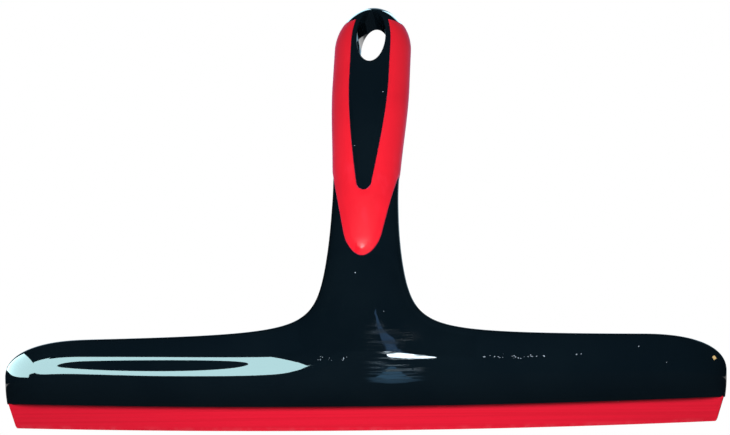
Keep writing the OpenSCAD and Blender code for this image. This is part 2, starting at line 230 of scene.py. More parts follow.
def head_row(i, side):
    """Row i of the head, from the shoulders down to the hood's lower edge, and its foot on the parting."""
    if i < UPPER_ROWS:
        f = 0.5 * (1 - math.cos(math.pi / 2 * i / UPPER_ROWS))
    else:
        f = 0.5 + 0.5 * math.sin(math.pi / 2 * (i - UPPER_ROWS) / (HEAD_ROWS - UPPER_ROWS))
    t = np.arange(ACROSS + 1) / ACROSS
    wing = np.array([wing_x(j) for j in range(1, WINGS + 1)])
    middle = -stem_half(JOIN_S) * (np.cos(np.pi * t) * (1 - f) + (1 - 2 * t) * f)
    x = np.concatenate([-wing[::-1], middle, wing])
    outer = np.abs(np.arange(len(x)) - len(x) // 2) >= ACROSS / 2
    on_top = outer & (i == 0)
    on_edge = on_top.copy()
    on_edge[[0, -1]] = True
    top = np.where(outer, shoulder(np.where(outer, x, HALF_W)), JOIN_S) - PARTING_GROOVE * on_top
    s = top * (1 - f) + seam(x) * f
    n = depth(x, s, side > 0) - HOOD_EDGE * (1 - quarter((s - seam(x)) / HOOD_EDGE))
    n = np.where(on_edge, 0, side * np.maximum(n, 0))
    x = x * (1 - END_TUCK / HALF_W * (1 - arch((s - seam(x)) / TUCK_H)))
    x[0] += PARTING_GROOVE
    x[-1] -= PARTING_GROOVE
    return place(x, s, n), place(x, s, 0 * n)


def strip(a, b):
    """Faces between two rows of points of one length."""
    return [(a[c], a[c + 1], b[c + 1], b[c]) for c in range(len(a) - 1)]


def pick(piece):
    bpy.ops.object.select_all(action="DESELECT")
    bpy.context.view_layer.objects.active = piece
    piece.select_set(True)


def mesh_of(points, faces, name):
    """A closed piece from points and faces, with its doubles merged and its faces turned outwards."""
    mesh = bpy.data.meshes.new(name)
    mesh.from_pydata(points.tolist(), [], faces)
    piece = bpy.data.objects.new(name, mesh)
    bpy.context.collection.objects.link(piece)
    pick(piece)
    bpy.ops.object.mode_set(mode="EDIT")
    bpy.ops.mesh.select_all(action="SELECT")
    bpy.ops.mesh.remove_doubles(threshold=WELD)
    bpy.ops.mesh.dissolve_degenerate(threshold=WELD / 2)
    bpy.ops.mesh.select_all(action="SELECT")
    bpy.ops.mesh.normals_make_consistent(inside=False)
    bpy.ops.object.mode_set(mode="OBJECT")
    return piece


def smooth(piece, degrees):
    pick(piece)
    bpy.ops.object.shade_smooth_by_angle(angle=math.radians(degrees))


def body_half(side, name):
    """One half, lofted from the top of the handle down to the hood, with a flat face on the parting."""
    turns = np.radians(np.linspace(DOME_START, 90, DOME_ROWS, endpoint=False))
    v = np.arange(NECK_ROWS - DOME_ROWS) / (NECK_ROWS - DOME_ROWS)
    cap_low = HANDLE_LEN - CAP_W
    heights = np.concatenate([cap_low + CAP_W * np.cos(turns),
                              cap_low - (cap_low - JOIN_S) * v * (1.4 - 0.4 * v)])
    rows = [neck_row(s, side) for s in heights]
    rows += [head_row(i, side)[0] for i in range(HEAD_ROWS + 1)]
    rows.append(head_row(HEAD_ROWS, side)[1])
    starts = np.cumsum([0] + [len(row) for row in rows]).tolist()
    ids = [range(start, end) for start, end in zip(starts, starts[1:])]

    neck, head = ids[:NECK_ROWS], ids[NECK_ROWS:]
    foot = head[0][WINGS:WINGS + ACROSS + 1]
    faces = [tuple(neck[0])]
    for a, b in zip(neck, [*neck[1:], foot]):
        faces += strip(a, b)
        faces.append((a[0], b[0], b[-1], a[-1]))
    for a, b in zip(head, head[1:]):
        faces += strip(a, b)
    for wing in (slice(1, WINGS + 1), slice(WINGS + ACROSS, -1)):
        faces += strip(head[0][wing], head[-1][wing])
    for end, inner in ((0, 1), (-1, -2)):
        faces.append((*(row[end] for row in head), head[-1][inner], head[0][inner]))
    faces.append((foot[0], foot[-1], *head[-1][WINGS + ACROSS:WINGS - 1:-1]))
    return mesh_of(np.concatenate(rows), faces, name)


class Wire:
    """One output of a finish's nodes. A sum written on it adds its Math nodes."""

    def __init__(self, socket):
        self.socket = socket

    def sum(self, operation, a, b):
        return node(self.socket.id_data, "Math", {"operation": operation}, {0: a, 1: b})

    def __add__(self, other):
        return self.sum("ADD", self, other)

    def __sub__(self, other):
        return self.sum("SUBTRACT", self, other)

    def __rsub__(self, other):
        return self.sum("SUBTRACT", other, self)

    def __mul__(self, other):
        return self.sum("MULTIPLY", self, other)

    def __gt__(self, other):
        return self.sum("GREATER_THAN", self, other)

    def __lt__(self, other):
        return self.sum("LESS_THAN", self, other)

    def feed(self, shader, socket):
        self.socket.id_data.links.new(self.socket, shader.inputs[socket])

    def part(self, name):
        """Another output of the node that this one comes from."""
        return Wire(self.socket.node.outputs[name])

    __radd__, __rmul__ = __add__, __mul__


def node(tree, kind, settings, values, output=0):
    """Adds a node: its settings first, then the values or links of its sockets."""
    made = tree.nodes.new("ShaderNode" + kind)
    for name, value in settings.items():
        setattr(made, name, value)
    for name, value in values.items():
        if isinstance(value, Wire):
            tree.links.new(value.socket, made.inputs[name])
        else:
            made.inputs[name].default_value = value
    return Wire(made.outputs[output]) if made.outputs else None


def fade(tree, value, low, high):
    """0 below low and 1 above high, with a soft change between. It also takes them the other way round."""
    return node(tree, "MapRange", {"interpolation_type": "SMOOTHSTEP"}, {0: value, 1: low, 2: high})


def between(tree, value, low, high, soft):
    """1 between low and high, falling to 0 over a soft width outside them."""
    return fade(tree, value, low - soft, low) * fade(tree, value, high + soft, high)


def noise(tree, where, scale, detail=3.0):
    return node(tree, "TexNoise", {}, {"Vector": where, "Scale": scale, "Detail": detail})


def stretched(tree, where, x, y, z):
    return node(tree, "Mapping", {}, {"Vector": where, "Scale": (x, y, z)})


def blend_colours(tree, share, first, second):
    return node(tree, "Mix", {"data_type": "RGBA"}, {0: share, 6: first, 7: second}, 2)


def bumps(tree, where, scale, detail, strength, height):
    """The shallow unevenness that the mould leaves, for a finish's Normal."""
    return node(tree, "Bump", {}, {"Strength": strength, "Distance": height * MM,
                                   "Height": noise(tree, where, scale, detail)})


def finish_of(name, roughness, ior, **constants):
    """A new finish, with its shader, its node tree and the place that its patterns are drawn on."""
    made = bpy.data.materials.new(name)
    made.use_nodes = True
    tree = made.node_tree
    shader = tree.nodes["Principled BSDF"]
    shader.inputs["Roughness"].default_value = roughness
    shader.inputs["IOR"].default_value = ior
    for socket, value in constants.items():
        shader.inputs[socket.replace("_", " ")].default_value = value
    return made, tree, shader, node(tree, "TexCoord", {}, {}, "Object")


# Glossy black: deep blue-black plastic with a mirror polish. Fingers have left a faint smear where neck and
# head meet, cloths have left hairlines along the head, and dust lies on two stretches of its ridge.
# Its specks there are painted pale, as a painted glint of the light that the dust catches on the ridge.
# The last colour is for dust anywhere, and on the ridge for a painted glint of the light that the dust
# catches
BLACK, BLACK_WARM, DUST_AND_GLINT = (0.0024, 0.0062, 0.0100, 1), (0.0034, 0.0080, 0.0120, 1), (0.35, 0.42, 0.5, 1)
POLISH, SMEARED, RUBBED, DUSTY = 0.01, 0.3, 0.04, 0.5  # roughness, and what each mark adds to it
RIDGE_Z, RIDGE_HALF, RIDGE_SOFT = -7.5, 0.4, 0.7  # heights count from the shoulder line
SMEAR_Z, SMEAR_X, SMEAR_SOFT = (-14, 2), (10, 18), (8, 14)
GLINT_RIGHT, GLINT_LEFT, GLINT_SOFT = (52, 92), (-18, -9), (6, 4)
DUST_ANYWHERE, GLINTS_ON_RIDGE, SPECK_R, SPECK_CELLS = 0.0008, 0.75, 0.28, 1100.0
black, tree, shader, where = finish_of("glossy_black", POLISH, 1.5)
spot = node(tree, "SeparateXYZ", {}, {0: where})
x_at, z_at = spot.part("X"), spot.part("Z")
hook_z = float(HOOK[1])  # from the shoulder line up to the hook


def band(tree, value, ends, soft, below=0):
    """1 between two ends in millimetres, and soft outside. They may count from a line below the hook."""
    return between(tree, value, (ends[0] - below) * MM, (ends[1] - below) * MM, soft * MM)


streaks = fade(tree, noise(tree, stretched(tree, where, 60, 300, 1100), 1.0, 4.0), 0.45, 0.62)
smear = band(tree, x_at, SMEAR_X, SMEAR_SOFT[1]) * band(tree, z_at, SMEAR_Z, SMEAR_SOFT[0], hook_z)
hairlines = fade(tree, noise(tree, stretched(tree, where, 12, 1500, 2600), 1.0, 2.0), 0.64, 0.72)
ridge = band(tree, z_at, (RIDGE_Z - RIDGE_HALF, RIDGE_Z + RIDGE_HALF), RIDGE_SOFT, hook_z)
# Stretches of the ridge where the dust specks are thicker, as a painted glint of light along it
glinting = band(tree, x_at, GLINT_RIGHT, GLINT_SOFT[0]) + band(tree, x_at, GLINT_LEFT, GLINT_SOFT[1])
glint_line = ridge * glinting * fade(tree, noise(tree, where, 190.0), 0.38, 0.5)
cells = node(tree, "TexVoronoi", {}, {"Vector": where, "Scale": SPECK_CELLS})
chance = node(tree, "SeparateColor", {}, {0: cells.part("Color")})
# Pale specks: a few of dust anywhere, and many on the ridge as a painted glint of light
dust_and_glint_specks = (chance > 1 - DUST_ANYWHERE - GLINTS_ON_RIDGE * glint_line) * (cells < SPECK_R)
tone = blend_colours(tree, fade(tree, noise(tree, where, 30.0), 0.3, 0.7), BLACK, BLACK_WARM)
blend_colours(tree, dust_and_glint_specks, tone, DUST_AND_GLINT).feed(shader, "Base Color")
marks = SMEARED * smear * streaks + RUBBED * hairlines + DUSTY * dust_and_glint_specks
(POLISH + marks).feed(shader, "Roughness")
bumps(tree, where, scale=900, detail=1, strength=0.04, height=0.02).feed(shader, "Normal")

halves = {}
for side, words in ((1, "front"), (-1, "rear")):
    half = halves[side] = body_half(side, f"{words}_body")
    half.data.materials.append(black)
    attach(half, BODY)
    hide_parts(f"{words}_shell")


# ---- Hanging hole -------------------------------------------------------------------------------
# An ellipse through both halves near the top of the handle, for a hook. Cores in the mould leave its rims
# rolled over on both sides.
HOLE_W, HOLE_LEN = 12, 23.5
RIM_W, RIM_DEEP, RIM_STEPS = 1.4, 2, 8
HOLE_MID = HOLE_TOP - HOLE_LEN / 2
hole_frame = (Matrix.Translation(Vector(place(np.float64(0), np.float64(HOLE_MID), np.float64(0))))
              @ Matrix.Rotation(math.radians(90 - LEAN), 4, "X"))


def oval(margin, thick, name):
    """A cutter of the hole's outline, widened by a margin, across the handle."""
    bpy.ops.object.select_all(action="DESELECT")
    bpy.ops.mesh.primitive_cylinder_add(vertices=128, radius=1, depth=thick * MM)
    cutter = bpy.context.object
    cutter.name = name
    bpy.ops.transform.resize(value=((HOLE_W / 2 + margin) * MM, (HOLE_LEN / 2 + margin) * MM, 1))
    bpy.ops.object.transform_apply(location=False, rotation=False, scale=True)
    return cutter


def cut(target, cutter):
    """Takes a cutter's form out of a piece."""
    pick(target)
    change = target.modifiers.new("cut", "BOOLEAN")
    change.object, change.operation, change.solver = cutter, "DIFFERENCE", "EXACT"
    bpy.ops.object.modifier_apply(modifier=change.name)


def choose(piece, kind, elements, test):
    """Goes into edit mode with only those faces, edges or vertices of a piece selected that pass a test."""
    pick(piece)
    bpy.ops.object.mode_set(mode="EDIT")
    bpy.ops.mesh.select_mode(type=kind)
    bpy.ops.mesh.select_all(action="DESELECT")
    bpy.ops.object.mode_set(mode="OBJECT")
    for element in elements:
        element.select = test(element)
    bpy.ops.object.mode_set(mode="EDIT")


# Each end of the cutter flares in steps round the rim's quarter circle, and goes on past the skin
rim_turns = [math.pi / 2 * step / RIM_STEPS for step in range(RIM_STEPS + 1)]
rim_steps = [(RIM_W * (1 - math.cos(turn)), RIM_DEEP * math.sin(turn)) for turn in rim_turns]
rim_steps.append((2 * RIM_W, 2 * RIM_DEEP))
hole = oval(0, 2 * (GRIP_T - RIM_DEEP), "hole_cutter")
for end in (-1, 1):
    choose(hole, "FACE", hole.data.polygons, lambda face: face.normal.z * end > 0.9)
    for (margin, height), (new_margin, new_height) in zip(rim_steps, rim_steps[1:]):
        bpy.ops.mesh.extrude_region_move(
            TRANSFORM_OT_translate={"value": (0, 0, end * (new_height - height) * MM)})
        bpy.ops.transform.resize(value=((HOLE_W / 2 + new_margin) / (HOLE_W / 2 + margin),
                                        (HOLE_LEN / 2 + new_margin) / (HOLE_LEN / 2 + margin), 1),
                                 center_override=(0, 0, 0))
    bpy.ops.object.mode_set(mode="OBJECT")
hole.data.transform(hole_frame)
for half in halves.values():
    cut(half, hole)
bpy.data.objects.remove(hole)


# ---- Soft grips ---------------------------------------------------------------------------------
# Soft red TPR is moulded into a pocket on each side of the handle, and its edges stand a little proud. The
# front one parts round the bare inlay and ends in a blunt tongue on the neck. The rear one is plain, and
# leaves a bare rim round the hole. Their skins follow the handle's, so they are drawn the same way.
CAP_LEN, GRIP_LEN, TONGUE_LEN = 8, 106, 27
GRIP_PROUD, GRIP_DEEP, GRIP_GAP = 0.4, 1.6, 0.12
TONGUE_TIP, TONGUE_BLUNT, TONGUE_SPREAD = 12, 9.5, 0.22  # width and length of its end, and its slope
INLAY_TIP, INLAY_BLUNT, INLAY_W, INLAY_OPEN = 5.2, 3, 16.6, 50
HOLE_MARGIN = 3.2  # bare rim round the hole, outside its rolled edge
GRIP_EDGE, GRIP_CROWN, CROWN_W = 0.45, 0.3, 3.5  # rounding of its edge, and how its middle is crowned
GRIP_FEATHER = 0.03  # the least that a grip's top stands over its underside
CUTTER_PROUD = 1.2  # how far the cutter of a pocket stands out of the skin
GAP_BESIDE = 0.6  # the share of the gap that is kept beside the tongue and the inlay
FORK_EASE = 6  # the length over which the spacing of the columns changes, where the grip parts
ON_EDGE, OFF_EDGE = 1e-6, 1e-3  # a point this near the skin's edge is on it, and one this far is not
GRIP_COLUMNS, TIP_ROWS, ARM_ROWS, PLAIN_ROWS = 40, 60, 92, 160
GRIP_TOP = HANDLE_LEN - CAP_LEN
GRIP_LOW = GRIP_TOP - GRIP_LEN
INLAY_LOW = GRIP_LOW + TONGUE_LEN


def blunt(v):
    return np.sqrt(1 - (1 - np.clip(v, 0, 1)) ** 2)


def tongue_half(d):
    return np.where(d < 0, 0, TONGUE_TIP / 2 * blunt(d / TONGUE_BLUNT) + TONGUE_SPREAD * d)


def inlay_half(d):
    spread = 1 - (1 - np.clip(d / INLAY_OPEN, 0, 1)) ** 1.6
    return np.where(d < 0, 0, INLAY_TIP / 2 * blunt(d / INLAY_BLUNT) + (INLAY_W - INLAY_TIP) / 2 * spread)


def pad_height(x, s, front, grow):
    return depth(x, s, front, grow) * dome(s, HANDLE_LEN + grow, CAP_T)


def away_from(rim, surface):
    """How far in millimetres each point of a surface lies from the nearest point of its rim."""
    near = kdtree.KDTree(len(rim))
    for i, point in enumerate(rim):
        near.insert(point, i)
    near.balance()
    return np.array([[near.find(point)[2] / MM for point in row] for row in surface])


def pad(side, gap, grow, name, rounded=True):
    """One grip as a closed piece. With a gap, and not rounded, it is the cutter of its pocket."""
    front = side > 0
    low, top = GRIP_LOW - gap, GRIP_TOP + gap
    fork = INLAY_LOW + gap if front else top
    v = np.linspace(0, 1, TIP_ROWS if front else PLAIN_ROWS)
    s = low + (fork - low) * (1 - np.cos(np.pi * v)) / 2
    fork_row = len(s) - 1
    if front:
        v = np.linspace(0, 1, ARM_ROWS)[1:] ** 0.9
        s = np.concatenate([s, fork + (top - fork) * (1 - np.cos(np.pi * v)) / 2])
    s = s[:, None]
    skin = stem_half(s, grow)
    outer = np.minimum(tongue_half(s - low) + GAP_BESIDE * gap * (s > low), skin)
    inner = np.maximum(inlay_half(s - fork) - GAP_BESIDE * gap, 0) if front else 0 * s
    forked = ease((s - fork) / FORK_EASE) if front else 0
    u = np.linspace(0, 1, GRIP_COLUMNS + 1)[None, :]
    share = (1 - forked) * np.sin(np.pi / 2 * u) + forked * (1 - np.cos(np.pi * u)) / 2
    x = inner + (outer - inner) * share
    s = s + 0 * x
    wide = x * dome(s, HANDLE_LEN, CAP_W)
    high = np.where(x >= skin - ON_EDGE, 0, pad_height(x, s, front, grow))
    deep = np.minimum(np.nan_to_num(pad_height(x, s, front, -GRIP_DEEP)), high - GRIP_FEATHER)
    if rounded:
        surface = place(wide, s, side * high)
        rim = [surface[-1], surface[outer[:, 0] < skin[:, 0] - OFF_EDGE, -1]]
        if front:
            rim.append(surface[fork_row:, 0])
        else:
            a = np.linspace(0, 2 * np.pi, PLAIN_ROWS)
            across = (HOLE_W / 2 + RIM_W + HOLE_MARGIN) * np.cos(a)
            along = np.minimum(HOLE_MID + (HOLE_LEN / 2 + RIM_W + HOLE_MARGIN) * np.sin(a), GRIP_TOP)
            rim.append(place(across, along, -pad_height(across, along, False, grow)))
        rim = np.concatenate(rim)
        gone = away_from(np.concatenate([rim, rim * (-1, 1, 1)]), surface)
        sink = GRIP_EDGE * (1 - quarter(gone / GRIP_EDGE)) + GRIP_CROWN * (1 - ease(gone / CROWN_W))
        high = np.maximum(high - sink, deep + GRIP_FEATHER)
    points = np.concatenate([place(wide, s, side * high).reshape(-1, 3),
                             place(wide, s, side * deep).reshape(-1, 3)])
    upper = np.arange(x.size).reshape(x.shape)
    under = upper + x.size
    faces = []
    for grid in (upper, under):
        for a, b in zip(grid, grid[1:]):
            faces += strip(a, b)
    faces += strip(upper[:, -1], under[:, -1]) + strip(upper[-1], under[-1])
    if front:
        faces += strip(upper[fork_row:, 0], under[fork_row:, 0])
    faces = [tuple(int(i) for i in face) for face in faces]
    faces += [tuple(len(points) + i for i in face) for face in faces]
    return mesh_of(np.concatenate([points, points * (-1, 1, 1)]), faces, name)


# Soft red: a matt skin with a fine grain from the mould, a little uneven in colour, rubbed paler where the
# hand holds it, and rubbed smooth on the blunt end of the tongue.
GRIP_RED, GRIP_DARK_RED = (0.86, 0.008, 0.025, 1), (0.78, 0.006, 0.021, 1)
GRIP_RUBBED = (0.86, 0.018, 0.045, 1)
GRIP_ROUGH, GRIP_UNEVEN, GRIP_SMOOTHED = 0.40, 0.16, 0.33
SMOOTH_MIDDLE = GRIP_LOW + 4
SMOOTH_X, SMOOTH_Z, SMOOTH_SOFT = (-1, 2), (-2, 1), 5
soft_red, tree, shader, where = finish_of("soft_red", 0.5, 1.4, Sheen_Weight=0.7, Sheen_Roughness=0.4,
                                          Sheen_Tint=(1, 0.25, 0.55, 1))
uneven = fade(tree, noise(tree, where, 45.0), 0.35, 0.65)
rubbed = fade(tree, noise(tree, stretched(tree, where, 1, 1, 0.4), 140.0), 0.56, 0.7)
tone = blend_colours(tree, uneven, GRIP_RED, GRIP_DARK_RED)
blend_colours(tree, 0.5 * rubbed, tone, GRIP_RUBBED).feed(shader, "Base Color")
spot = node(tree, "SeparateXYZ", {}, {0: where})
smooth_heights = [float(spine(np.float64(SMOOTH_MIDDLE))[1]) + end for end in SMOOTH_Z]
smoothed = (band(tree, spot.part("X"), SMOOTH_X, SMOOTH_SOFT)
            * band(tree, spot.part("Z"), smooth_heights, SMOOTH_SOFT, hook_z))
roughness = GRIP_ROUGH + GRIP_UNEVEN * noise(tree, where, 700.0) - GRIP_SMOOTHED * smoothed
roughness.feed(shader, "Roughness")
bumps(tree, where, scale=3200, detail=2, strength=0.35, height=0.05).feed(shader, "Normal")

grips = {}
for side, words in ((1, "front"), (-1, "rear")):
    pocket = pad(side, GRIP_GAP, CUTTER_PROUD, f"{words}_pocket", rounded=False)
    grip = grips[side] = pad(side, 0, GRIP_PROUD, f"{words}_soft_grip")
    if side < 0:
        for piece, margin in ((pocket, RIM_W + HOLE_MARGIN - GRIP_GAP), (grip, RIM_W + HOLE_MARGIN)):
            rim = oval(margin, thick=60, name="bare_rim")
            rim.data.transform(hole_frame)
            cut(piece, rim)
            bpy.data.objects.remove(rim)
    cut(halves[side], pocket)
    bpy.data.objects.remove(pocket)
    smooth(halves[side], degrees=32)
    smooth(grip, degrees=50)
    grip.data.materials.append(soft_red)
    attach(grip, BODY)
    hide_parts(f"{words}_grip")


# ---- Lip ----------------------------------------------------------------------------------------
# A strip of soft red TPR, which tapers to its wiping edge. It is extruded, cut to length with slanted ends
# and rounded corners, and clamped between the two halves by its root.
LIP_OUT, LIP_T, LIP_EDGE_T, LIP_INSET = 9.9, 2.8, 1, 1.5
LIP_SLANT, LIP_CORNER, LIP_SOFT = math.radians(17), 1.5, 0.3
ROOT_UP, ROOT_INSET = 5, 2  # how far the root is drawn up, and how much shorter each end of it is
LIP_STEPS, LIP_SPARE = 240, 1  # the strip is swept a spare length past each end
NEAR = 0.4  # millimetres within which a point counts as one of an edge
lip_half = HALF_W - LIP_INSET
seam_rise = float(seam(lip_half)) + HEAD_H
seam_middle = Vector(place(np.float64(0), np.float64(-HEAD_H), np.float64(0)))
bow_middle = seam_middle + Vector((0, 0, BOW_R * MM))

# The strip's section hangs from the seam, tapers, and is swept along the bow of the head
bpy.ops.object.select_all(action="DESELECT")
bpy.ops.mesh.primitive_plane_add(size=1, location=seam_middle - Vector((0, 0, LIP_OUT / 2 * MM)),
                                 rotation=(0, math.pi / 2, 0))
lip = bpy.context.object
lip.name = "soft_lip"
lip.dimensions = (LIP_OUT * MM, LIP_T * MM, 0)
bpy.ops.object.transform_apply(location=True, rotation=True, scale=True)
low_end = min(corner.co.z for corner in lip.data.vertices)
choose(lip, "VERT", lip.data.vertices, lambda corner: corner.co.z < low_end + NEAR * MM)
bpy.ops.transform.resize(value=(1, LIP_EDGE_T / LIP_T, 1), center_override=seam_middle)
bpy.ops.mesh.select_all(action="SELECT")
sweep = 2 * math.asin((lip_half + LIP_SPARE) / BOW_R)
bpy.ops.transform.rotate(value=-sweep / 2, orient_axis="Y", center_override=bow_middle)
bpy.ops.mesh.spin(steps=LIP_STEPS, angle=sweep, center=bow_middle, axis=(0, 1, 0))
bpy.ops.mesh.select_all(action="SELECT")
bpy.ops.mesh.remove_doubles(threshold=WELD)

# The ends are cut aslant, and their lower corners rounded
for end in (-1, 1):
    bpy.ops.mesh.select_all(action="SELECT")
    bpy.ops.mesh.bisect(plane_co=seam_middle + Vector((end * lip_half * MM, 0, seam_rise * MM)),
                        plane_no=(end * math.cos(LIP_SLANT), 0, -math.sin(LIP_SLANT)),
                        clear_outer=True, use_fill=True)
bpy.ops.object.mode_set(mode="OBJECT")


def low_corner(point):
    """Whether a point is at one of the lip's lower corners, where the slanted end meets the wiping edge."""
    hem = seam_middle.z + (float(seam(point.x / MM)) + HEAD_H - LIP_OUT) * MM
    end = (lip_half - LIP_OUT * math.tan(LIP_SLANT)) * MM
    return point.z < hem + NEAR * MM and abs(point.x) > end - NEAR * MM


choose(lip, "EDGE", lip.data.edges,
       lambda edge: all(low_corner(lip.data.vertices[i].co) for i in edge.vertices))
bpy.ops.mesh.bevel(offset=LIP_CORNER * MM, segments=8, affect="EDGES")
bpy.ops.object.mode_set(mode="OBJECT")

# The root goes up between the two halves, a little shorter than the lip, and all edges are softened
choose(lip, "FACE", lip.data.polygons, lambda face: face.normal.z > 0.9)
bpy.ops.mesh.extrude_region_move(TRANSFORM_OT_translate={"value": (0, 0, ROOT_UP * MM)})
bpy.ops.transform.resize(value=(1 - ROOT_INSET / lip_half, 1, 1), center_override=seam_middle)
bpy.ops.mesh.select_all(action="SELECT")
bpy.ops.mesh.normals_make_consistent(inside=False)
bpy.ops.object.mode_set(mode="OBJECT")
pick(lip)
soften = lip.modifiers.new("soften", "BEVEL")
soften.width, soften.segments = LIP_SOFT * MM, 3
soften.limit_method, soften.angle_limit = "ANGLE", math.radians(40)
bpy.ops.object.modifier_apply(modifier=soften.name)
smooth(lip, degrees=50)

# Soft red again, but smoother, since it is extruded. Faint lines run along it, and its edge is scuffed.
LIP_RED, LIP_LINE_RED = (0.86, 0.007, 0.034, 1), (0.78, 0.006, 0.029, 1)
LIP_SCUFF = (0.84, 0.045, 0.075, 1)
SCUFF_END, SCUFF_FULL = 2.2, 0.6  # heights above the wiping edge
LIP_ROUGH, LIP_UNEVEN, LIP_SCUFFED = 0.36, 0.12, 0.1
lip_red, tree, shader, where = finish_of("lip_red", 0.4, 1.4)
spot = node(tree, "SeparateXYZ", {}, {0: where})
x_at, z_at = spot.part("X"), spot.part("Z")
edge_z = seam_middle.z - LIP_OUT * MM
above_edge = z_at - x_at * x_at * (0.5 / (BOW_R * MM)) - edge_z
along = stretched(tree, where, 6, 500, 1500)
lines = fade(tree, noise(tree, along, 1.0), 0.4, 0.65)
scuffed = fade(tree, above_edge, SCUFF_END * MM, SCUFF_FULL * MM)
scuff = scuffed * fade(tree, noise(tree, where, 260.0), 0.4, 0.7)
tone = blend_colours(tree, lines, LIP_RED, LIP_LINE_RED)
blend_colours(tree, 0.6 * scuff, tone, LIP_SCUFF).feed(shader, "Base Color")
(LIP_ROUGH + LIP_UNEVEN * noise(tree, where, 300.0) + LIP_SCUFFED * scuff).feed(shader, "Roughness")
bumps(tree, along, scale=1, detail=2, strength=0.3, height=0.05).feed(shader, "Normal")
lip.data.materials.append(lip_red)
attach(lip, BODY)
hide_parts("blade")


# ---- Floor --------------------------------------------------------------------------------------
# A plain pale floor a little under the lip, which takes the tool's soft shadow. Further off it turns into
# the white of the backdrop. It sends little light back up, and mirror rays find it dark, as under a
# studio's flag, until well behind the tool.
FLOOR_GAP, FLOOR_SIZE = 30, 60
PALE, DIM, FLAG = (0.84, 0.85, 0.86, 1), (0.3, 0.3, 0.3, 1), (0.02, 0.03, 0.04, 1)
WHITE = (1, 1, 1, 1)
WHITE_FROM, WHITE_FULL = 0.9, 2.0  # metres from the tool
FLAG_FULL, FLAG_END = 0.5, 0.7  # metres behind the tool


def bare_finish(name):
    """A finish that has no shader yet, and its node tree."""
    made = bpy.data.materials.new(name)
    made.use_nodes = True
    made.node_tree.nodes.clear()
    return made, made.node_tree


bpy.ops.object.select_all(action="DESELECT")
bpy.ops.mesh.primitive_plane_add(size=FLOOR_SIZE, location=(0, 0, cad_low.z - FLOOR_GAP * MM))
floor = bpy.context.object
floor.name = "floor"
bpy.ops.object.transform_apply(location=True)
pale, tree = bare_finish("pale_floor")
rays = node(tree, "LightPath", {}, {})
camera_ray, glossy_ray = rays.part("Is Camera Ray"), rays.part("Is Glossy Ray")
where = node(tree, "TexCoord", {}, {}, "Object")
distance = node(tree, "VectorMath", {"operation": "LENGTH"}, {0: where}, "Value")
far_off = fade(tree, distance, WHITE_FROM, WHITE_FULL)
flagged = fade(tree, node(tree, "SeparateXYZ", {}, {0: where}, "Y"), FLAG_END, FLAG_FULL)
shown = camera_ray + rays.part("Is Transmission Ray") + glossy_ray
plain = node(tree, "MixShader", {}, {0: camera_ray,
                                     1: node(tree, "BsdfDiffuse", {}, {"Color": DIM}),
                                     2: node(tree, "BsdfDiffuse", {}, {"Color": PALE})})
backdrop = node(tree, "Emission", {}, {"Color": WHITE, "Strength": 1.0})
flag = node(tree, "Emission", {}, {"Color": FLAG, "Strength": 1.0})
lit = node(tree, "MixShader", {}, {0: far_off * shown, 1: plain, 2: backdrop})
lit = node(tree, "MixShader", {}, {0: glossy_ray * flagged, 1: lit, 2: flag})
node(tree, "OutputMaterial", {}, {"Surface": lit})
floor.data.materials.append(pale)


# ---- Studio cards -------------------------------------------------------------------------------
# Bright and black cards round the tool, for its gloss to mirror. Nothing else shows them, and each lights
# only the pieces that it is hung for. Their sizes are in millimetres, and so are their places, which count
# from the middle of the shoulder line.
CARD_AWAY = 120  # how far in front of that line the ring hangs
UPRIGHT, SIDEWAYS, LYING = (math.pi / 2, 0, 0), (math.pi / 2, 0, math.pi / 2), (0, 0, 0)
head = Vector(place(np.float64(0), np.float64(0), np.float64(0)))
cap_y, cap_z = spine(np.float64(HANDLE_LEN))


def only(name, pieces):
    """A collection of the pieces that a card or a lamp lights."""
    made = bpy.data.collections.new(name)
    for piece in pieces:
        made.objects.link(piece)
    return made


black_only = only("black_plastic", halves.values())


def glow(name, colour, strength):
    made, tree = bare_finish(name)
    shine = node(tree, "Emission", {}, {"Color": colour, "Strength": strength})
    node(tree, "OutputMaterial", {}, {"Surface": shine})
    return made


def hang(sheet, name, finish, lights=black_only):
    """Makes a sheet a card of the studio: only mirror rays meet it, and it lights only some pieces."""
    sheet.name = name
    sheet.data.materials.append(finish)
    sheet.visible_camera = sheet.visible_diffuse = sheet.visible_shadow = False
    sheet.visible_transmission = sheet.visible_volume_scatter = False
    sheet.light_linking.receiver_collection = lights


def card(name, finish, size, at, facing=UPRIGHT, lights=black_only):
    """A flat card of a size, with its middle in a place."""
    bpy.ops.object.select_all(action="DESELECT")
    bpy.ops.mesh.primitive_plane_add(size=1, location=head + Vector(at) * MM, rotation=facing)
    sheet = bpy.context.object
    sheet.scale = (size[0] * MM, size[1] * MM, 1)
    hang(sheet, name, finish, lights)


def ellipse(middle, half_size, turn, fill="NOTHING"):
    """A flat ellipse that faces the tool. In edit mode it joins the card being made."""
    at = head + Vector((middle[0], -CARD_AWAY, middle[1])) * MM
    bpy.ops.mesh.primitive_circle_add(vertices=96, radius=1, fill_type=fill, location=at, rotation=UPRIGHT)
    bpy.ops.transform.resize(value=(half_size[0] * MM, 1, half_size[1] * MM), center_override=at)
    bpy.ops.transform.rotate(value=-turn, orient_axis="Y", center_override=at)


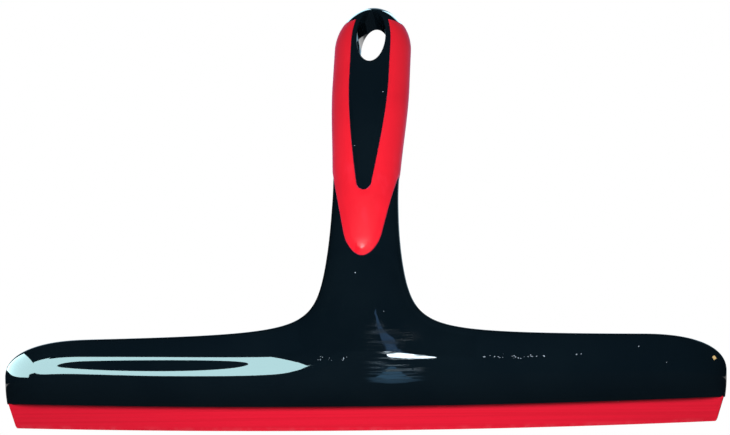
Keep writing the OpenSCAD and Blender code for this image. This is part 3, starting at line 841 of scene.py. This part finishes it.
# For the left wing: a tilted ring, a flag that keeps it off the middle, and two cards for the wing's end
RING_MIDDLE, RING_HALF, RING_TURN = (-134.8, 46.5), (109.5, 38.1), 0.49
EYE_MIDDLE, EYE_HALF, EYE_TURN = (-108.8, 34.4), (47.1, 21.6), 0.40
FLAG_FACING = (math.pi / 2, -0.438, 0)  # upright, and turned a little
ring_glow = glow("ring_glow", (0.62, 0.96, 1.0, 1), 18.0)
no_glow = glow("flag_black", (0, 0, 0, 1), 0.0)
bpy.ops.object.select_all(action="DESELECT")
ellipse(RING_MIDDLE, RING_HALF, RING_TURN)
bpy.ops.object.transform_apply(location=True, rotation=True, scale=True)
ring = bpy.context.object
bpy.ops.object.mode_set(mode="EDIT")
ellipse(EYE_MIDDLE, EYE_HALF, EYE_TURN)
bpy.ops.mesh.select_all(action="SELECT")
bpy.ops.mesh.bridge_edge_loops()
bpy.ops.object.mode_set(mode="OBJECT")
hang(ring, "ring_card", ring_glow)
card("ring_flag", no_glow, (52, 52), (-26.1, 1 - CARD_AWAY, 30.5), FLAG_FACING)
card("side_card", ring_glow, (190, 98), (-225, -35, 55), SIDEWAYS)
card("end_card", ring_glow, (50, 80), (-200, -1 - CARD_AWAY, 75))

# For the middle of the ridge: a spark, a blue gleam under it, and a gauze that dims what is mirrored above
SPARK_MIDDLE, SPARK_HALF, SPARK_TURN = (10.8, 9.7), (18, 2), -0.90
GLEAM_MIDDLE, GLEAM_HALF = (-1, -38), (8, 26)
bpy.ops.object.select_all(action="DESELECT")
ellipse(SPARK_MIDDLE, SPARK_HALF, SPARK_TURN, "NGON")
hang(bpy.context.object, "spark_card", glow("spark_glow", (0.75, 0.9, 1.0, 1), 40.0))
bpy.ops.object.select_all(action="DESELECT")
ellipse(GLEAM_MIDDLE, GLEAM_HALF, 0, "NGON")
hang(bpy.context.object, "gleam_card", glow("gleam_glow", (0.25, 0.6, 1.0, 1), 2.2))
sheer, tree = bare_finish("gauze")
thin = node(tree, "BsdfTransparent", {}, {"Color": (0.012, 0.022, 0.040, 1)})
node(tree, "OutputMaterial", {}, {"Surface": thin})
card("gauze", sheer, (70, 45), (12, -16, 17.9))

# For the top of the handle: a card behind and above each side of it, and a flag that hides the lower room
for side, strength in ((-1, 5.0), (1, 8.0)):
    card(f"cap_card_{side}", glow("cap_glow", (0.55, 0.85, 1.0, 1), strength), (55, 60),
         (side * 42.5, cap_y + 60, cap_z + 40))
card("cap_flag", no_glow, (300, 300), (0, cap_y + 160, cap_z - 12), LYING)

# A flag that keeps the ring out of the neck, a warm card at the right end, and a small card low in front
# that only the blunt end of the front grip mirrors
card("neck_flag", no_glow, (400, 125), (-27, -50, 62.5), SIDEWAYS)
card("warm_card", glow("warm_glow", (1.0, 0.7, 0.3, 1), 15.0), (20, 20), (227, -28, 53), SIDEWAYS)
card("tip_card", glow("tip_glow", (1.0, 0.9, 0.95, 1), 45.0), (20, 6), (-11, -93, 72),
     lights=only("front_grip_only", [grips[1]]))


# ---- Lamps and world ----------------------------------------------------------------------------
# One soft lamp close in front of the tool and a little above it, so that the ends of the head fall off, and
# one over the floor for its even light and soft shadow. The room is white to the camera. The gloss mirrors
# it as dark, but pale blue straight behind the tool.
KEY_AT, KEY_AIM = Vector((0.01, -0.28, 0.10)), Vector((0, 0, 0.03))  # metres from the shoulder line
KEY_SIZE, KEY_POWER = 0.20, 0.90
OVER_AT, OVER_SIZE, OVER_POWER = Vector((0, 0, 1.1)), 0.5, 14.0  # metres from the hook
AMBIENT = 0.32
ROOM_DARK, ROOM_BEHIND = (0.010, 0.022, 0.034, 1), (0.36, 0.58, 0.74, 1)
BEHIND_FROM, BEHIND_FULL = 0.7, 0.92  # how straight behind the tool a direction points


def lamp(name, at, aim, size, power, lights):
    """A round lamp that is never mirrored, and that lights only some pieces."""
    bpy.ops.object.select_all(action="DESELECT")
    bpy.ops.object.light_add(type="AREA", location=at)
    made = bpy.context.object
    made.name = name
    made.data.shape, made.data.size, made.data.energy = "DISK", size, power
    made.rotation_euler = (aim - at).to_track_quat("-Z", "Y").to_euler()
    made.visible_glossy = False
    made.light_linking.receiver_collection = lights


lamp("key_lamp", head + KEY_AT, head + KEY_AIM, KEY_SIZE, KEY_POWER,
     only("tool", [*halves.values(), *grips.values(), lip]))
lamp("floor_lamp", OVER_AT, Vector(), OVER_SIZE, OVER_POWER, only("floor_only", [floor]))

world = bpy.data.worlds.new("studio")
bpy.context.scene.world = world
world.use_nodes = True
tree = world.node_tree
tree.nodes.clear()
rays = node(tree, "LightPath", {}, {})
way = node(tree, "SeparateXYZ", {}, {0: node(tree, "TexCoord", {}, {}, "Generated")}, "Y")
room = blend_colours(tree, fade(tree, way, BEHIND_FROM, BEHIND_FULL), ROOM_DARK, ROOM_BEHIND)
ambient = node(tree, "Background", {}, {"Color": WHITE, "Strength": AMBIENT})
mirrored = node(tree, "Background", {}, {"Color": room, "Strength": 1.0})
white = node(tree, "Background", {}, {"Color": WHITE, "Strength": 1.0})
sky = node(tree, "MixShader", {}, {0: rays.part("Is Glossy Ray"), 1: ambient, 2: mirrored})
sky = node(tree, "MixShader", {}, {0: rays.part("Is Camera Ray") + rays.part("Is Transmission Ray"),
                                   1: sky, 2: white})
node(tree, "OutputWorld", {}, {"Surface": sky})
